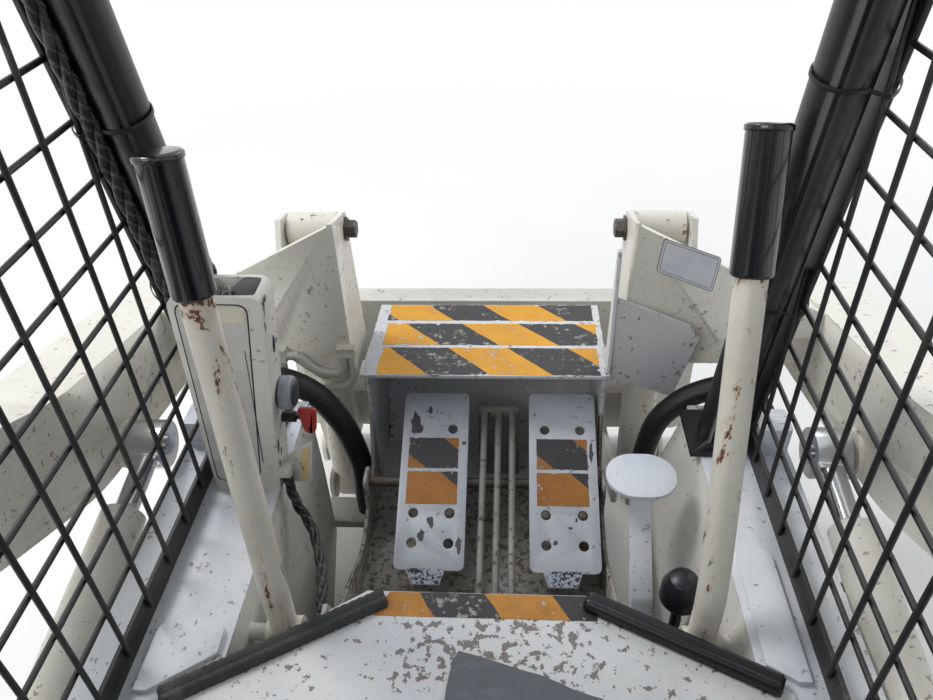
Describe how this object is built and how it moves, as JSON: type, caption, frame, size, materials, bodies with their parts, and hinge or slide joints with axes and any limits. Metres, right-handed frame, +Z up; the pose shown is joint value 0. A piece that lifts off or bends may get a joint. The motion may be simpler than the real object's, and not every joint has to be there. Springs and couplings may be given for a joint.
{
  "type": "skid steer loader, front body with operator station, lift arms and coupler frame",
  "caption": "Front body of a skid steer loader: mesh-sided operator's station with levers, pedals, worn step and seat, between lift arms with their cylinders and coupler frame",
  "frame": {"origin": "on the belly plate's underside, on the centre plane, 300 mm ahead of the operator's eyes", "axes": "+X to the operator's right, +Y forward to the coupler frame, +Z up"},
  "size_m": [1.206, 1.717, 1.616],
  "materials": {
    "black_paint": "satin",
    "black_rubber": "matte",
    "dark_plastic": "matte",
    "grey_metal": "matte",
    "rod_chrome": "gloss",
    "seat_cover": "matte",
    "tread_tape": "matte",
    "white_paint": "satin"
  },
  "bodies": {
    "machine_body": {"belly_plate": "grey_metal", "chain_cases": "white_paint", "fender_covers": "white_paint", "seat_riser": "white_paint", "seat_pan": "white_paint", "seat_cushion": "seat_cover", "seat_back": "seat_cover", "bulkhead": "white_paint", "arm_towers": "white_paint", "guard_frame": "black_paint", "guard_roof": "black_paint", "side_screens": "black_paint", "footwell": "white_paint", "step_box": "white_paint", "pedal_shaft": "grey_metal", "linkage_rods": "grey_metal", "foot_pad": "grey_metal", "throttle_knob": "dark_plastic", "console_box": "white_paint", "console_controls": "dark_plastic", "pan_trims": "black_rubber", "post_harness": "dark_plastic", "console_harness": "dark_plastic", "front_hoses": "black_rubber"},
    "lift_arms": {"lift_arm_left": "white_paint", "lift_arm_right": "white_paint", "arm_cross_tube": "white_paint", "knee_pipes": "grey_metal"},
    "coupler_frame": {"coupler": "white_paint"},
    "lift_barrel_left": {"lift_barrel_left": "white_paint"},
    "lift_rod_left": {"lift_rod_left": "rod_chrome"},
    "lift_barrel_right": {"lift_barrel_right": "white_paint"},
    "lift_rod_right": {"lift_rod_right": "rod_chrome"},
    "tilt_barrel_left": {"tilt_barrel_left": "white_paint"},
    "tilt_rod_left": {"tilt_rod_left": "rod_chrome"},
    "tilt_barrel_right": {"tilt_barrel_right": "white_paint"},
    "tilt_rod_right": {"tilt_rod_right": "rod_chrome"},
    "steering_lever_left": {"lever_left": "black_paint", "grip_left": "black_rubber"},
    "steering_lever_right": {"lever_right": "black_paint", "grip_right": "black_rubber"},
    "pedal_left": {"pedal_left": "tread_tape"},
    "pedal_right": {"pedal_right": "tread_tape"},
    "hub_front_left": {"hub_front_left": "grey_metal"},
    "hub_rear_left": {"hub_rear_left": "grey_metal"},
    "hub_front_right": {"hub_front_right": "grey_metal"},
    "hub_rear_right": {"hub_rear_right": "grey_metal"}
  },
  "joints": [
    {"name": "lift_arms_hinge", "type": "hinge", "parent": "machine_body", "child": "lift_arms", "pos_m": [0, -0.7, 0.95], "axis": [1, 0, 0], "range_deg": [0, 60]},
    {"name": "coupler_hinge", "type": "hinge", "parent": "lift_arms", "child": "coupler_frame", "pos_m": [0, 0.8, 0.075], "axis": [-1, 0, 0], "range_deg": [0, 60]},
    {"name": "lift_barrel_left_hinge", "type": "hinge", "parent": "machine_body", "child": "lift_barrel_left", "pos_m": [-0.455, -0.5, 0.27], "axis": [1, 0, 0], "range_deg": [0, 51.34]},
    {"name": "lift_rod_left_slide", "type": "slide", "parent": "lift_barrel_left", "child": "lift_rod_left", "axis": [0, 0.9875, 0.1576], "range_m": [0, 0.6811]},
    {"name": "lift_barrel_right_hinge", "type": "hinge", "parent": "machine_body", "child": "lift_barrel_right", "pos_m": [0.455, -0.5, 0.27], "axis": [1, 0, 0], "range_deg": [0, 51.34]},
    {"name": "lift_rod_right_slide", "type": "slide", "parent": "lift_barrel_right", "child": "lift_rod_right", "axis": [0, 0.9875, 0.1576], "range_m": [0, 0.6811]},
    {"name": "tilt_barrel_left_hinge", "type": "hinge", "parent": "coupler_frame", "child": "tilt_barrel_left", "pos_m": [-0.253, 0.657, 0.12], "axis": [1, 0, 0], "range_deg": [0, 75.72]},
    {"name": "tilt_rod_left_slide", "type": "slide", "parent": "tilt_barrel_left", "child": "tilt_rod_left", "axis": [0, -0.0867, -0.9962], "range_m": [0, 0.0995]},
    {"name": "tilt_barrel_right_hinge", "type": "hinge", "parent": "coupler_frame", "child": "tilt_barrel_right", "pos_m": [0.253, 0.657, 0.12], "axis": [1, 0, 0], "range_deg": [0, 75.72]},
    {"name": "tilt_rod_right_slide", "type": "slide", "parent": "tilt_barrel_right", "child": "tilt_rod_right", "axis": [0, -0.0867, -0.9962], "range_m": [0, 0.0995]},
    {"name": "steering_lever_left_hinge", "type": "hinge", "parent": "machine_body", "child": "steering_lever_left", "pos_m": [-0.222, 0.204, 0.345], "axis": [-1, 0, 0], "range_deg": [-8, 12]},
    {"name": "steering_lever_right_hinge", "type": "hinge", "parent": "machine_body", "child": "steering_lever_right", "pos_m": [0.258, 0.204, 0.345], "axis": [-1, 0, 0], "range_deg": [-8, 12]},
    {"name": "pedal_left_hinge", "type": "hinge", "parent": "machine_body", "child": "pedal_left", "pos_m": [-0.076, 0.51, 0.277], "axis": [1, 0, 0], "range_deg": [-8, 8]},
    {"name": "pedal_right_hinge", "type": "hinge", "parent": "machine_body", "child": "pedal_right", "pos_m": [0.12, 0.51, 0.277], "axis": [1, 0, 0], "range_deg": [-8, 8]},
    {"name": "hub_front_left_spin", "type": "hinge", "parent": "machine_body", "child": "hub_front_left", "pos_m": [-0.491, 0.36, 0.15], "axis": [-1, 0, 0], "continuous": true},
    {"name": "hub_rear_left_spin", "type": "hinge", "parent": "machine_body", "child": "hub_rear_left", "pos_m": [-0.491, -0.38, 0.15], "axis": [-1, 0, 0], "continuous": true},
    {"name": "hub_front_right_spin", "type": "hinge", "parent": "machine_body", "child": "hub_front_right", "pos_m": [0.491, 0.36, 0.15], "axis": [1, 0, 0], "continuous": true},
    {"name": "hub_rear_right_spin", "type": "hinge", "parent": "machine_body", "child": "hub_rear_right", "pos_m": [0.491, -0.38, 0.15], "axis": [1, 0, 0], "continuous": true}
  ],
  "couplings": [
    {"joint": "lift_barrel_left_hinge", "follows": "lift_arms_hinge", "ratio": 0.83905},
    {"joint": "lift_rod_left_slide", "follows": "lift_arms_hinge", "m_per_rad": 0.64657},
    {"joint": "lift_barrel_right_hinge", "follows": "lift_arms_hinge", "ratio": 0.83905},
    {"joint": "lift_rod_right_slide", "follows": "lift_arms_hinge", "m_per_rad": 0.64657},
    {"joint": "tilt_barrel_left_hinge", "follows": "coupler_hinge", "ratio": 1.2454},
    {"joint": "tilt_rod_left_slide", "follows": "coupler_hinge", "m_per_rad": 0.09306},
    {"joint": "tilt_barrel_right_hinge", "follows": "coupler_hinge", "ratio": 1.2454},
    {"joint": "tilt_rod_right_slide", "follows": "coupler_hinge", "m_per_rad": 0.09306},
    {"joint": "hub_rear_left_spin", "follows": "hub_front_left_spin", "ratio": 1},
    {"joint": "hub_rear_right_spin", "follows": "hub_front_right_spin", "ratio": 1}
  ]
}
